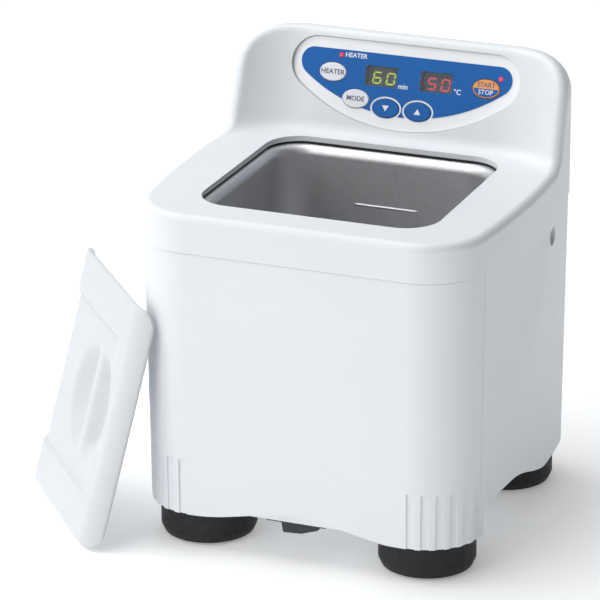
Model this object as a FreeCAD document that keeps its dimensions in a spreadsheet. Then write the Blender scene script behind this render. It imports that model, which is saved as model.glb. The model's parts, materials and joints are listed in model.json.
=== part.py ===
import FreeCAD, Part
import math
import os
import re
import Sketcher
from FreeCAD import Placement, Rotation, Vector

# Heated ultrasonic water bath on four rubber feet, with its loose lid leaning on the front left corner.
# Frame: +X right, +Y to the back, +Z up. Origin on the floor, midway between the four feet. Millimetres.

SIZES = {
    # Case outline in plan: crowned sides, round corners
    "case_width": 200.0,
    "case_depth": 194.4,
    "side_crown_radius": 612.0,
    "front_corner_radius": 34.0,
    "rear_corner_radius": 35.0,
    # Heights
    "leg_bottom": 20.5,
    "seam_height": 170.5,
    "deck_height": 191.6,
    "hood_top": 247.0,
    # Top cover
    "cover_wall": 2.9,
    "hood_wall": 5.0,
    "hood_lean": 0.332,
    "hood_foot": 56.7,
    "hood_flat_half": 56.0,
    "hood_sweep_radius": 58.0,
    "hood_foot_fillet": 9.0,
    "hood_top_fillet": 20.0,
    "cover_edge_fillet": 4.5,
    "lip_wall": 2.0,
    "lip_height": 5.5,
    "opening_half": 66.9,
    "opening_front": -75.0,
    "opening_rear": 49.8,
    "opening_corner": 19.6,
    # Lower case shells
    "shell_wall": 2.6,
    "shell_step": 0.6,
    "shell_draft": 1.7,
    "joint_gap": 0.4,
    "front_seam": -67.2,
    "rear_seam": 68.3,
    "arch_rise": 8.2,
    "arch_half": 60.0,
    "handhold_front": -62.0,
    "handhold_rear": -26.0,
    "handhold_height": 37.5,
    "rear_leg_front": 38.0,
    "rear_leg_bottom": 23.5,
    "flute_count": 6.0,
    "flute_pitch": 7.9,
    "flute_width": 4.6,
    "flute_depth": 1.1,
    "flute_top": 52.0,
    "flute_start": 62.0,
    "scoop_top": 161.5,
    "scoop_bottom": 72.0,
    "scoop_front": -63.5,
    "scoop_rear": 30.0,
    "side_hole_y": 35.0,
    "side_hole_z": 156.8,
    "side_hole_radius": 5.2,
    # Base tray and feet
    "tray_inset": 3.4,
    "tray_wall": 2.5,
    "tray_bottom": 24.0,
    "tray_top": 40.0,
    "grip_half": 84.0,
    "grip_front": -58.0,
    "grip_rear": 34.0,
    "grip_ceiling": 37.6,
    "foot_spacing": 126.6,
    "foot_radius": 26.3,
    "foot_bore": 6.0,
    "foot_bore_depth": 12.0,
    "screw_radius": 2.0,
    # Tank
    "tank_half": 62.0,
    "tank_front": -70.2,
    "tank_rear": 45.0,
    "tank_corner": 18.0,
    "tank_floor": 76.0,
    "tank_sheet": 0.8,
    "tank_flange": 11.0,
    "tank_roll": 5.0,
    "tank_floor_radius": 12.0,
    "flange_top": 187.5,
    "gasket_width": 6.5,
    # Control panel, in the panel's own leaning frame
    "panel_y": 63.65,
    "panel_z": 208.5,
    "panel_lean": 18.37,
    "bezel_low": -11.9,
    "bezel_radius": 99.0,
    "bezel_half": 66.5,
    "bezel_end_radius": 15.0,
    "bezel_high": 35.5,
    "overlay_low": -4.4,
    "overlay_radius": 98.0,
    "overlay_half": 61.8,
    "overlay_end_radius": 9.0,
    "overlay_high": 29.4,
    "sheet_thickness": 0.3,
    "bezel_thickness": 0.8,
    "panel_fit": 0.35,
    "key_long": 7.8,
    "key_short": 5.15,
    "key_proud": 0.4,
    "key_ring": 1.4,
    "display_width": 18.4,
    "display_height": 10.8,
    "display_row": 16.9,
    "lamp_radius": 1.3,
    # Lid
    "lid_width": 118.0,
    "lid_length": 137.0,
    "lid_corner": 7.0,
    "lid_wall": 2.8,
    "lid_shoulder": 17.0,
    "lid_sweep": 60.0,
    "lid_band": 24.0,
    "lid_raise": 2.0,
    "lid_rib_depth": 9.0,
    "lid_dish_radius": 29.0,
    "lid_dish_depth": 6.0,
    "lid_grip": 12.0,
    "lid_heading": -49.3,
    "lid_lean": 75.3,
    "lid_x": -135.77,
    "lid_y": -67.07,
    "lid_z": 68.60,
}

doc = FreeCAD.newDocument("HeatedBath")
sheet = doc.addObject("Spreadsheet::Sheet", "Sizes")
for row, (alias, size) in enumerate(SIZES.items(), 1):
    sheet.set(f"A{row}", alias)
    sheet.set(f"B{row}", str(size))
    sheet.setAlias(f"B{row}", alias)
doc.recompute()

WORDS = re.compile(r"\b(" + "|".join(sorted(SIZES, key=len, reverse=True)) + r")\b")
nodes = []


def size(alias):
    """The number in the sheet cell with this alias."""
    return float(sheet.get(alias))


def bind(obj, prop, formula):
    """Drive a property from the sheet: the words in the formula are aliases."""
    obj.setExpression(prop, WORDS.sub(r"Sizes.\1", str(formula)))


def keep(obj, label, placement=None):
    """Register a finished sub-part under its own label."""
    obj.Label = label
    if placement is not None:
        obj.Placement = placement
    nodes.append(obj)
    return obj


def solid(label, shape, placement=None):
    """A sub-part whose shape is built with Part's own functions."""
    obj = doc.addObject("Part::Feature", label)
    obj.Shape = shape
    return keep(obj, label, placement or Placement())


# ---------------------------------------------------------------- primitives and booleans

def place(obj, at, axis=(0, 0, 1), angle=0.0):
    obj.Placement = Placement(Vector(), Rotation(Vector(*axis), angle))
    for letter, formula in zip("xyz", at):
        bind(obj, f"Placement.Base.{letter}", formula)
    return obj


def box(name, lengths, at):
    obj = doc.addObject("Part::Box", name)
    for prop, formula in zip(("Length", "Width", "Height"), lengths):
        bind(obj, prop, formula)
    return place(obj, at)


TURN = {"z": ((0, 0, 1), 0.0), "x": ((0, 1, 0), 90.0), "y": ((1, 0, 0), -90.0)}


def rod(name, radius, length, at, along="z"):
    """A cylinder that starts at a point and runs along +X, +Y or +Z."""
    obj = doc.addObject("Part::Cylinder", name)
    bind(obj, "Radius", radius)
    bind(obj, "Height", length)
    return place(obj, at, *TURN[along])


def fuse(name, parts):
    obj = doc.addObject("Part::MultiFuse", name)
    obj.Shapes = parts
    return obj


def cut(name, base, tool):
    obj = doc.addObject("Part::Cut", name)
    obj.Base = base
    obj.Tool = tool
    return obj


def group(name, parts):
    """Separate solids that share one node."""
    obj = doc.addObject("Part::Compound", name)
    obj.Links = parts
    return obj


# ---------------------------------------------------------------- sketches and bodies

def new_body(name):
    return doc.addObject("PartDesign::Body", name)


def origin_plane(body, role):
    return next(plane for plane in body.Origin.OriginFeatures if plane.Role == role)


def new_sketch(body, name, role, offset="0"):
    sketch = body.newObject("Sketcher::SketchObject", name)
    sketch.AttachmentSupport = [(origin_plane(body, role), "")]
    sketch.MapMode = "FlatFace"
    bind(sketch, "AttachmentOffset.Base.z", offset)
    return sketch


def value(formula):
    """The present number of a formula written with aliases, worked out in a spare cell."""
    sheet.set("D1", f"={formula}")
    doc.recompute([sheet])
    return float(sheet.get("D1"))


def dimension(sketch, kind, formula, *where):
    index = sketch.addConstraint(Sketcher.Constraint(kind, *where, value(formula)))
    bind(sketch, f"Constraints[{index}]", formula)


def chain(sketch, geometry, joint):
    """Add a closed chain of geometry, each end joined to the next start."""
    first = sketch.addGeometry(geometry[0], False)
    for item in geometry[1:]:
        sketch.addGeometry(item, False)
    count = len(geometry)
    for step in range(count):
        here, there = first + step, first + (step + 1) % count
        sketch.addConstraint(Sketcher.Constraint(joint, here, 2, there, 1))
    return first


def round_rectangle(sketch, left, low, right, high, radius):
    x0, y0, x1, y1, r = value(left), value(low), value(right), value(high), value(radius)
    quarter = math.pi / 2

    def line(a, b):
        return Part.LineSegment(Vector(*a, 0), Vector(*b, 0))

    def arc(cx, cy, start):
        return Part.ArcOfCircle(Part.Circle(Vector(cx, cy, 0), Vector(0, 0, 1), r), start, start + quarter)

    geometry = [
        line((x0 + r, y0), (x1 - r, y0)), arc(x1 - r, y0 + r, -quarter),
        line((x1, y0 + r), (x1, y1 - r)), arc(x1 - r, y1 - r, 0.0),
        line((x1 - r, y1), (x0 + r, y1)), arc(x0 + r, y1 - r, quarter),
        line((x0, y1 - r), (x0, y0 + r)), arc(x0 + r, y0 + r, 2 * quarter),
    ]
    first = chain(sketch, geometry, "Tangent")
    for step, kind in ((0, "Horizontal"), (2, "Vertical"), (4, "Horizontal"), (6, "Vertical")):
        sketch.addConstraint(Sketcher.Constraint(kind, first + step))
    for step in (3, 5, 7):
        sketch.addConstraint(Sketcher.Constraint("Equal", first + 1, first + step))
    dimension(sketch, "Radius", radius, first + 1)
    dimension(sketch, "DistanceY", low, -1, 1, first, 1)
    dimension(sketch, "DistanceX", right, -1, 1, first + 2, 1)
    dimension(sketch, "DistanceY", high, -1, 1, first + 4, 1)
    dimension(sketch, "DistanceX", left, -1, 1, first + 6, 1)


def pad(body, sketch, name, length, backwards=False):
    feature = body.newObject("PartDesign::Pad", name)
    feature.Profile = sketch
    bind(feature, "Length", length)
    feature.Reversed = backwards
    return feature


def pocket(body, sketch, name, length, backwards=False):
    """A pocket that must remove material: its volume is checked at the end."""
    feature = body.newObject("PartDesign::Pocket", name)
    feature.Profile = sketch
    bind(feature, "Length", length)
    feature.Reversed = backwards
    pockets.append(feature)
    return feature


pockets = []


def fillet(body, base, name, radius, wanted):
    """Round the edges of the feature before it that the test picks."""
    doc.recompute()
    edges = [f"Edge{i}" for i, edge in enumerate(base.Shape.Edges, 1) if wanted(edge.BoundBox)]
    feature = body.newObject("PartDesign::Fillet", name)
    feature.Base = (base, edges)
    bind(feature, "Radius", radius)
    return feature


def revolve(name, outline):
    """A body turned about Z from (radius, height) pairs of formulas."""
    body = new_body(name)
    sketch = new_sketch(body, name + "Profile", "XZ_Plane")
    points = [Vector(value(r), value(z), 0) for r, z in outline]
    sides = [Part.LineSegment(a, b) for a, b in zip(points, points[1:] + points[:1])]
    first = chain(sketch, sides, "Coincident")
    for step, (r, z) in enumerate(outline):
        dimension(sketch, "DistanceX", r, -1, 1, first + step, 1)
        dimension(sketch, "DistanceY", z, -1, 1, first + step, 1)
    turn = body.newObject("PartDesign::Revolution", name + "Turn")
    turn.Profile = sketch
    turn.ReferenceAxis = (sketch, ["V_Axis"])
    turn.Angle = 360.0
    return body


# ---------------------------------------------------------------- case outline

def case_outline(inset, height):
    """The case's plan as a closed wire: crowned sides tangent to the corner arcs."""
    half = size("case_width") / 2 - inset
    back = size("case_depth") / 2 - inset
    crown = size("side_crown_radius")
    centre = half - crown

    def corner(radius, facing):
        """One right-hand corner: its arc from the front or rear line to the side arc."""
        y = facing * (back - radius)
        x = centre + math.sqrt((crown - radius) ** 2 - y ** 2)
        hub = Vector(x, y, 0)
        start = Vector(x, facing * back, 0)
        side = hub + Vector(x - centre, y, 0).normalize() * radius
        middle = hub + ((start + side) * 0.5 - hub).normalize() * radius
        return start, middle, side

    front, front_mid, front_side = corner(size("front_corner_radius") - inset, -1)
    rear, rear_mid, rear_side = corner(size("rear_corner_radius") - inset, 1)
    right = [
        Part.Arc(front, front_mid, front_side),
        Part.Arc(front_side, Vector(half, 0, 0), rear_side),
        Part.Arc(rear_side, rear_mid, rear),
    ]

    def flip(point):
        return Vector(-point.x, point.y, 0)

    left = [
        Part.Arc(flip(rear), flip(rear_mid), flip(rear_side)),
        Part.Arc(flip(rear_side), Vector(-half, 0, 0), flip(front_side)),
        Part.Arc(flip(front_side), flip(front_mid), flip(front)),
    ]
    edges = [Part.LineSegment(flip(front), front)] + right
    edges += [Part.LineSegment(rear, flip(rear))] + left
    wire = Part.Wire([edge.toShape() for edge in edges])
    wire.translate(Vector(0, 0, height))
    return wire


def prism(wire, height):
    return Part.Face(wire).extrude(Vector(0, 0, height))


def rounded_slab(left, low, right, high, radius, bottom, top):
    """A plate with round corners, from one height to another."""
    slab = Part.makeBox(right - left, high - low, top - bottom, Vector(left, low, bottom))
    upright = [edge for edge in slab.Edges if edge.BoundBox.ZLength > 0.5 * (top - bottom)]
    return slab.makeFillet(radius, upright)


# ---------------------------------------------------------------- top cover

def hood_block(inset, low, top, fillet_radius):
    block = prism(case_outline(inset, low), top - low)
    rim = [edge for edge in block.Edges if edge.BoundBox.ZMin > top - 0.01]
    return block.makeFillet(fillet_radius, rim)


def hood_front(deck, foot, fillet_radius):
    """The open space in front of the leaning control face, down to the deck."""
    flat = size("hood_flat_half")
    sweep = size("hood_sweep_radius")
    lean = size("hood_lean")
    reach = size("case_width") / 2 + 5
    turn = math.asin((reach - flat) / sweep)

    def on_sweep(side, angle):
        x = side * (flat + sweep * math.sin(angle))
        return Vector(x, foot - sweep * (1 - math.cos(angle)), deck)

    right = Part.Arc(on_sweep(1, 0), on_sweep(1, turn / 2), on_sweep(1, turn))
    left = Part.Arc(on_sweep(-1, turn), on_sweep(-1, turn / 2), on_sweep(-1, 0))
    ahead = -size("case_depth")
    corners = [on_sweep(1, turn), Vector(reach, ahead, deck), Vector(-reach, ahead, deck), on_sweep(-1, turn)]
    lines = [Part.LineSegment(a, b) for a, b in zip(corners, corners[1:])]
    curves = [left, Part.LineSegment(on_sweep(-1, 0), on_sweep(1, 0)), right] + lines
    wire = Part.Wire([curve.toShape() for curve in curves])
    rise = size("hood_top") - deck + 20
    space = Part.Face(wire).extrude(Vector(0, lean * rise, rise))
    foot_edges = [edge for edge in space.Edges
                  if edge.BoundBox.ZMax < deck + 0.01 and edge.BoundBox.YMin > 0 and edge.BoundBox.YMax < foot + 1
                  and edge.BoundBox.XLength > 20]
    return space.makeFillet(fillet_radius, foot_edges)


def shared_edges(shape, first, second):
    """Edges of the shape that lie on the skins of both other solids."""
    found = []
    for edge in shape.Edges:
        middle = Part.Vertex(edge.valueAt((edge.FirstParameter + edge.LastParameter) / 2))
        if max(skin.distToShape(middle)[0] for skin in (first.Shells[0], second.Shells[0])) < 1e-4:
            found.append(edge)
    return found


panel_turn = Rotation(Vector(1, 0, 0), -size("panel_lean"))
panel_frame = Placement(Vector(0, size("panel_y"), size("panel_z")), panel_turn)


def panel_outline(low, radius, half, end_radius, high):
    """A wide D in the panel's XZ plane: flat top, round ends and a bowed lower edge, all tangent."""
    hub = Vector(0, 0, low + radius)
    end_x = half - end_radius
    end_z = hub.z - math.sqrt((radius - end_radius) ** 2 - end_x ** 2)
    corner = high - end_z
    end = Vector(end_x, 0, end_z)
    down = (end - hub).normalize()
    touch = hub + down * radius
    bulge = end + (down + Vector(1, 0, 0)).normalize() * end_radius
    tip = Vector(half, 0, end_z)
    crest = Vector(half - corner * (1 - math.sqrt(0.5)), 0, high - corner * (1 - math.sqrt(0.5)))
    shoulder = Vector(half - corner, 0, high)

    def flip(point):
        return Vector(-point.x, 0, point.z)

    curves = [
        Part.Arc(flip(touch), Vector(0, 0, low), touch), Part.Arc(touch, bulge, tip), Part.Arc(tip, crest, shoulder),
        Part.LineSegment(shoulder, flip(shoulder)),
        Part.Arc(flip(shoulder), flip(crest), flip(tip)), Part.Arc(flip(tip), flip(bulge), flip(touch)),
    ]
    return Part.Wire([curve.toShape() for curve in curves])


def panel_sheet(wire, front, thickness):
    return Part.Face(wire).extrude(Vector(0, thickness, 0)).translated(Vector(0, front, 0))


def bezel_wire(grow=0.0):
    return panel_outline(size("bezel_low") - grow, size("bezel_radius") + grow, size("bezel_half") + grow,
                         size("bezel_end_radius") + grow, size("bezel_high") + grow)


def overlay_wire():
    return panel_outline(size("overlay_low"), size("overlay_radius"), size("overlay_half"),
                         size("overlay_end_radius"), size("overlay_high"))


# Oval keys: name, position across and up the panel
KEYS = {
    "heater_key": (-42.5, 16.6),
    "mode_key": (-27.5, 3.2),
    "down_key": (-9.4, -0.3),
    "up_key": (9.4, -0.3),
    "start_stop_key": (47.4, 16.6),
}
DISPLAYS = {"timer": -14.0, "temperature": 18.2}
LAMPS = {"heater_lamp": (-38.5, 26.4), "run_lamp": (55.2, 22.7)}


def oval(x, z, grow, front, back):
    """An oval prism that crosses the panel."""
    long = size("key_long") + grow
    short = size("key_short") + grow
    curve = Part.Ellipse(Vector(long, 0, 0), Vector(0, short, 0), Vector(0, 0, 0))
    face = Part.Face(Part.Wire([curve.toShape()]))
    face.rotate(Vector(), Vector(1, 0, 0), 90)
    return face.extrude(Vector(0, back - front, 0)).translated(Vector(x, front, z))


def block(x, z, width, height, front, back):
    """A box centred at a panel position."""
    return Part.makeBox(width, back - front, height, Vector(x - width / 2, front, z - height / 2))


def lamp(x, z, radius, front, back):
    return Part.makeCylinder(radius, back - front, Vector(x, front, z), Vector(0, 1, 0))


def panel_openings(front, back, key_grow, window_grow, lamp_grow):
    """All the holes that a sheet of the panel needs."""
    tools = [oval(x, z, key_grow, front, back) for x, z in KEYS.values()]
    width = size("display_width") + 2 * window_grow
    height = size("display_height") + 2 * window_grow
    tools += [block(x, size("display_row"), width, height, front, back) for x in DISPLAYS.values()]
    tools += [lamp(x, z, size("lamp_radius") + lamp_grow, front, back) for x, z in LAMPS.values()]
    return tools


CLAMP_POINTS = [(x, y) for x in (-75.0, 75.0) for y in (-50.0, 0.0)] + [(-40.0, -83.3), (40.0, -83.3)]


def top_cover():
    deck = size("deck_height")
    wall = size("cover_wall")
    seam = size("seam_height")
    top = size("hood_top")
    foot = size("hood_foot")
    outer = hood_block(0.0, seam, top, size("hood_top_fillet"))
    face = hood_front(deck, foot, size("hood_foot_fillet"))
    shape = outer.cut(face)
    shape = shape.makeFillet(size("cover_edge_fillet"), shared_edges(shape, outer, face))
    inner = hood_block(wall, seam - 2, top - wall, size("hood_top_fillet") - wall)
    inner_foot = foot + size("hood_wall") - size("hood_lean") * wall
    shape = shape.cut(inner.cut(hood_front(deck - wall, inner_foot, size("hood_foot_fillet"))))
    # Lip that locates the lower shells
    start = size("shell_step") + size("shell_wall") + 0.1
    low = seam - size("lip_height")
    ring = prism(case_outline(start, low), size("lip_height") + 3)
    ring = ring.cut(prism(case_outline(start + size("lip_wall"), low - 1), size("lip_height") + 5))
    ledge = prism(case_outline(wall - 1, seam), 3).cut(prism(case_outline(start + size("lip_wall"), seam - 1), 5))
    shape = shape.fuse([ring, ledge])
    # Tank opening
    half = size("opening_half")
    opening = rounded_slab(-half, size("opening_front"), half, size("opening_rear"), size("opening_corner"),
                           deck - 10, deck + 5)
    shape = shape.cut(opening)
    # Seat and holes of the control panel
    floor = size("sheet_thickness") + size("bezel_thickness")
    tools = [panel_sheet(bezel_wire(size("panel_fit")), -12.0, 12.0 + floor)]
    tools += panel_openings(-1.0, 12.0, size("panel_fit"), 0.3, 0.2)
    for tool in tools:
        tool.Placement = panel_frame.multiply(tool.Placement)
    shape = shape.cut(tools)
    # Blind holes of the screws that clamp the tank's flange from below
    shape = shape.cut([Part.makeCylinder(1.35, 2.9, Vector(x, y, deck - wall - 1)) for x, y in CLAMP_POINTS])
    # Brackets behind the side screws
    for side in (-1, 1):
        shape = shape.fuse(side_bracket(side))
    return shape.removeSplitter()


def side_bracket(side):
    y, z = size("side_hole_y"), size("side_hole_z")
    arm = Part.makeBox(12.6, 10, 5, Vector(84, y - 5, 171.5))
    leg = Part.makeBox(6.8, 10, 26, Vector(84, y - 5, 150.5))
    hole = Part.makeCylinder(1.7, 8, Vector(83, y, z), Vector(1, 0, 0))
    bracket = arm.fuse(leg).cut(hole)
    return bracket if side > 0 else bracket.mirror(Vector(), Vector(1, 0, 0))


solid("top_cover", top_cover())


# ---------------------------------------------------------------- lower case

def shell_ring():
    """The four lower case walls in one piece, before they are parted at the seams."""
    step, draft, wall = size("shell_step"), size("shell_draft"), size("shell_wall")
    low, high = size("leg_bottom"), size("seam_height") - size("joint_gap")

    def skin(extra, under, over):
        wires = [case_outline(step + draft + extra, low - under), case_outline(step + extra, high + over)]
        return Part.makeLoft(wires, True, True)

    return skin(0.0, 0, 0).cut(skin(wall, 0.01, 0.01))


def arch_tool():
    """The low arch under the front and the back."""
    half, rise, low = size("arch_half"), size("arch_rise"), size("leg_bottom")
    steps = [-1.0 + 0.25 * i for i in range(9)]
    points = [Vector(half * t, 0, low + rise * (0.5 + 0.5 * math.cos(math.pi * t))) for t in steps]
    curve = Part.BSplineCurve()
    curve.interpolate(Points=points, InitialTangent=Vector(1, 0, 0), FinalTangent=Vector(1, 0, 0))
    floor = [points[-1], Vector(half, 0, low - 5), Vector(-half, 0, low - 5), points[0]]
    lines = [Part.LineSegment(a, b).toShape() for a, b in zip(floor, floor[1:])]
    face = Part.Face(Part.Wire([curve.toShape()] + lines))
    return face.extrude(Vector(0, 2 * size("case_depth"), 0)).translated(Vector(0, -size("case_depth"), 0))


def side_arch_tool():
    """The hand hold under each side: a step behind the front leg that sweeps down to the rear leg."""
    front, rear, leg = size("handhold_front"), size("handhold_rear"), size("rear_leg_front")
    high, low = size("handhold_height"), size("rear_leg_bottom")
    back = size("case_depth")
    sweep = Part.BSplineCurve()
    steps = [0.2 * i for i in range(6)]
    points = [Vector(0, rear + (leg - rear) * t, low + (high - low) * (0.5 + 0.5 * math.cos(math.pi * t)))
              for t in steps]
    sweep.interpolate(Points=points, InitialTangent=Vector(0, 1, 0), FinalTangent=Vector(0, 1, 0))
    ends = [points[-1], Vector(0, back, low), Vector(0, back, 0), Vector(0, front, 0), Vector(0, front, high),
            points[0]]
    lines = [Part.LineSegment(a, b).toShape() for a, b in zip(ends, ends[1:])]
    face = Part.Face(Part.Wire([sweep.toShape()] + lines))
    tool = face.extrude(Vector(2 * size("case_width"), 0, 0)).translated(Vector(-size("case_width"), 0, 0))
    return tool


def between(front, rear):
    """A slab of space between two planes across the case."""
    width = size("case_width") + 20
    return Part.makeBox(width, rear - front, 300, Vector(-width / 2, front, 0))


def flutes():
    """Shallow upright flutes round the lower front corners."""
    tools = []
    radius = size("front_corner_radius") - size("shell_step") - size("shell_draft")
    hub_x = size("flute_start") + 0.8
    hub_y = -size("case_depth") / 2 + size("front_corner_radius")
    depth, width = size("flute_depth"), size("flute_width")
    height = size("flute_top") - size("leg_bottom") + 5
    for index in range(int(size("flute_count"))):
        angle = math.degrees((index * size("flute_pitch") + 0.5 * width) / radius)
        for side in (-1, 1):
            tool = Part.makeBox(width, 8, height, Vector(-width / 2, -8, 0))
            tool.translate(Vector(0, depth - 0.2 - radius, size("leg_bottom") - 5))
            tool.rotate(Vector(), Vector(0, 0, 1), angle)
            tool.translate(Vector(hub_x, hub_y, 0))
            tools.append(tool if side > 0 else tool.mirror(Vector(), Vector(1, 0, 0)))
    return tools


def scoop(side):
    """A shallow plane scoop in a side panel: a step at its top and front that fades down and back."""
    front, rear = size("scoop_front"), size("scoop_rear")

    def wire(x_front, x_rear, z):
        corners = [Vector(x_front, front, z), Vector(x_rear, rear, z), Vector(115, rear, z),
                   Vector(115, front, z)]
        return Part.makePolygon(corners + corners[:1])

    tool = Part.makeLoft([wire(97.0, 100.2, size("scoop_bottom")), wire(94.8, 98.4, size("scoop_top"))], True, True)
    return tool if side > 0 else tool.mirror(Vector(), Vector(1, 0, 0))


def side_cup(side):
    """A blind cup in a side panel, with the screw's hole in its floor: the material and the space."""
    y, z, radius = size("side_hole_y"), size("side_hole_z"), size("side_hole_radius")
    along = Vector(side, 0, 0)
    cup = Part.makeCylinder(radius + 2, 6, Vector(side * 91, y, z), along)
    space = Part.makeCylinder(radius, 20, Vector(side * 93, y, z), along)
    screw = Part.makeCylinder(size("screw_radius") + 0.2, 20, Vector(side * 90, y, z), along)
    return cup, space.fuse(screw)


ring = shell_ring()
front_seam, rear_seam, gap = size("front_seam"), size("rear_seam"), size("joint_gap")
limit = size("case_depth")
arch, side_arch = arch_tool(), side_arch_tool()

front_shell = ring.common(between(-limit, front_seam - gap / 2)).cut([arch] + flutes())
solid("front_shell", front_shell.removeSplitter())

side_strip = ring.common(between(front_seam + gap / 2, rear_seam - gap / 2)).cut(side_arch)
for name, side in (("left_side_panel", -1), ("right_side_panel", 1)):
    half_space = Part.makeBox(200, 400, 300, Vector(0 if side > 0 else -200, -200, 0))
    cup, cup_space = side_cup(side)
    panel = side_strip.common(half_space).cut(scoop(side)).fuse(cup).cut(cup_space)
    solid(name, panel.removeSplitter())


# ---------------------------------------------------------------- rear cover

VENT = {"rows": 9, "width": 46.0, "slot": 2.6, "pitch": 6.2, "low": 92.0, "centre": 28.0}
INLET = {"x": -52.0, "z": 56.0, "width": 27.4, "height": 19.8, "flange_width": 31.0, "flange_height": 24.0,
         "depth": 22.0, "socket_depth": 15.0, "wall": 1.7}
REAR_SCREWS = [(x, z) for x in (-58.0, 58.0) for z in (78.0, 156.0)]
BOARD_POINTS = [(x, z) for x in (-45.0, 45.0) for z in (76.0, 154.0)]
BOARD_FACE = 81.6
REAR_FACE = size("case_depth") / 2 - size("shell_step")


def rear_cover():
    shape = ring.common(between(rear_seam + gap / 2, limit)).cut([arch, side_arch])
    # Bosses for the four rear screws
    bosses = [Part.makeCylinder(5, 10, Vector(x, REAR_FACE - 12, z), Vector(0, 1, 0)) for x, z in REAR_SCREWS]
    # Posts that carry the driver board
    bosses += [Part.makeCylinder(3.5, 12.8, Vector(x, BOARD_FACE, z), Vector(0, 1, 0)) for x, z in BOARD_POINTS]
    shape = shape.fuse(bosses)
    tools = [Part.makeCylinder(size("screw_radius") + 0.2, 30, Vector(x, 70, z), Vector(0, 1, 0))
             for x, z in REAR_SCREWS]
    tools += [Part.makeCylinder(4.4, 10, Vector(x, REAR_FACE - 3.4, z), Vector(0, 1, 0)) for x, z in REAR_SCREWS]
    tools += [Part.makeCylinder(1.35, 8, Vector(x, BOARD_FACE - 1, z), Vector(0, 1, 0)) for x, z in BOARD_POINTS]
    for column in (-1, 1):
        for row in range(VENT["rows"]):
            tools.append(rounded_vent(column * VENT["centre"], VENT["low"] + row * VENT["pitch"]))
    width, height = INLET["width"] + 0.4, INLET["height"] + 0.4
    tools.append(Part.makeBox(width, 20, height, Vector(INLET["x"] - width / 2, 85, INLET["z"] - height / 2)))
    return shape.cut(tools).removeSplitter()


def rounded_vent(x, z):
    slot, width = VENT["slot"], VENT["width"]
    body = Part.makeBox(width - slot, 20, slot, Vector(x - (width - slot) / 2, 85, z - slot / 2))
    ends = [Part.makeCylinder(slot / 2, 20, Vector(x + side * (width - slot) / 2, 85, z), Vector(0, 1, 0))
            for side in (-1, 1)]
    return body.fuse(ends)


solid("rear_cover", rear_cover())


# ---------------------------------------------------------------- base tray and feet

def tray_block(inset, bottom, top):
    return prism(case_outline(inset, bottom), top - bottom)


def grip_pockets(grow):
    """The two finger recesses under the sides."""
    half, front, rear = size("grip_half") - grow, size("grip_front") - grow, size("grip_rear") + grow
    ceiling = size("grip_ceiling") + grow
    return [Part.makeBox(40, rear - front, ceiling + 10, Vector(x, front, -10)) for x in (half, -half - 40)]


def foot_points():
    spread = size("foot_spacing") / 2
    return [(x, y) for y in (-spread, spread) for x in (-spread, spread)]


SWITCH = {"x": -1.5, "y": -81.0, "width": 30.0, "depth": 14.0, "height": 18.0, "collar": 2.0, "flange": 1.6}


def base_tray():
    inset, wall = size("tray_inset") + size("shell_draft"), size("tray_wall")
    bottom, top = size("tray_bottom"), size("tray_top")
    inner = tray_block(inset + wall, bottom + wall, top + 1).cut(grip_pockets(wall))
    shape = tray_block(inset, bottom, top).cut(grip_pockets(0.0)).cut(inner)
    tools = [Part.makeCylinder(size("screw_radius") + 0.2, 20, Vector(x, y, 15)) for x, y in foot_points()]
    width, depth = SWITCH["width"] + 0.4, SWITCH["depth"] + 0.4
    tools.append(Part.makeBox(width, depth, 20, Vector(SWITCH["x"] - width / 2, SWITCH["y"] - depth / 2, 15)))
    for row in range(7):
        for side in (-1, 1):
            tools.append(Part.makeBox(34, 3, 20, Vector(side * 30 - 17, -30 + row * 9, 15)))
    return shape.cut(tools).removeSplitter()


solid("base_tray", base_tray())

FOOT_NAMES = ("front_left_foot", "front_right_foot", "rear_left_foot", "rear_right_foot")
for name, (x_sign, y_sign) in zip(FOOT_NAMES, ((-1, -1), (1, -1), (-1, 1), (1, 1))):
    foot = revolve(name, [
        ("foot_bore", "0"), ("foot_radius-5", "0"), ("foot_radius-1.6", "1.4"), ("foot_radius", "5"),
        ("foot_radius", "tray_bottom"), ("screw_radius+0.3", "tray_bottom"),
        ("screw_radius+0.3", "foot_bore_depth"), ("foot_bore", "foot_bore_depth")])
    keep(foot, name)
    bind(foot, "Placement.Base.x", f"{x_sign}*foot_spacing/2")
    bind(foot, "Placement.Base.y", f"{y_sign}*foot_spacing/2")


def foot_screw(index, x_sign, y_sign):
    x, y = f"{x_sign}*foot_spacing/2", f"{y_sign}*foot_spacing/2"
    head = rod(f"FootScrewHead{index}", "foot_bore-1.5", "3", (x, y, "foot_bore_depth-3"))
    shank = rod(f"FootScrewShank{index}", "screw_radius", "22", (x, y, "foot_bore_depth"))
    nut = rod(f"FootScrewNut{index}", "3.8", "3.2", (x, y, "tray_bottom+tray_wall"))
    return fuse(f"FootScrew{index}", [head, shank, nut])


screws = [foot_screw(i, sx, sy) for i, (sx, sy) in enumerate(((-1, -1), (1, -1), (-1, 1), (1, 1)))]
keep(group("FootScrews", screws), "foot_screws")


def side_screw(index, side):
    reach = 93.0
    head = rod(f"SideScrewHead{index}", "screw_radius*1.9", "2.2",
               (f"{side}*{reach}" if side > 0 else f"-{reach}-2.2", "side_hole_y", "side_hole_z"), "x")
    shank = rod(f"SideScrewShank{index}", "screw_radius-0.4", "12",
                ("81" if side > 0 else "-93", "side_hole_y", "side_hole_z"), "x")
    return fuse(f"SideScrew{index}", [head, shank])


keep(group("SideScrews", [side_screw(0, -1), side_screw(1, 1)]), "side_screws")


def rear_screw(index, x, z):
    face = REAR_FACE - 3.4
    head = rod(f"RearScrewHead{index}", "screw_radius*1.9", "2.2", (x, face, z), "y")
    shank = rod(f"RearScrewShank{index}", "screw_radius", "10", (x, face - 10, z), "y")
    return fuse(f"RearScrew{index}", [head, shank])


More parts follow.
